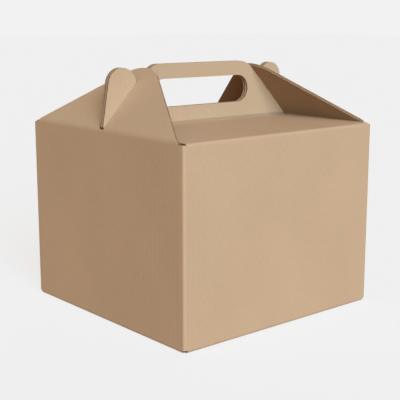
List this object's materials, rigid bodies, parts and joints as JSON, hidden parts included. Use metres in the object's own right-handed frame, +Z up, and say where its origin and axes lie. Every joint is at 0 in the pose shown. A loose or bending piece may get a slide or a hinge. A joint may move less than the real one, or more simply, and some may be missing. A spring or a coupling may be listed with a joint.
{
  "type": "gable box",
  "caption": "Square gable box of corrugated kraft board with a flat roof, an upright carrying handle with a hand hole, and a slitted gable flap at each side.",
  "frame": {"origin": "middle of the underside", "axes": "+X along the front towards the right gable flap, +Y from the front to the back, +Z up"},
  "size_m": [0.25, 0.25, 0.251],
  "materials": {
    "carton": "plain kraft corrugated board, matt",
    "left_gable_flap": "plain kraft corrugated board, matt",
    "right_gable_flap": "plain kraft corrugated board, matt"
  },
  "bodies": {
    "carton": {"carton": "carton"},
    "left_flap": {"left_gable_flap": "left_gable_flap"},
    "right_flap": {"right_gable_flap": "right_gable_flap"}
  },
  "joints": [
    {"name": "left_flap_fold", "type": "hinge", "parent": "carton", "child": "left_flap", "pos_m": [-0.1247, 0, 0.19138], "axis": [0, -1, 0], "range_deg": [0, 195]},
    {"name": "right_flap_fold", "type": "hinge", "parent": "carton", "child": "right_flap", "pos_m": [0.1247, 0, 0.19138], "axis": [0, 1, 0], "range_deg": [0, 195]}
  ]
}
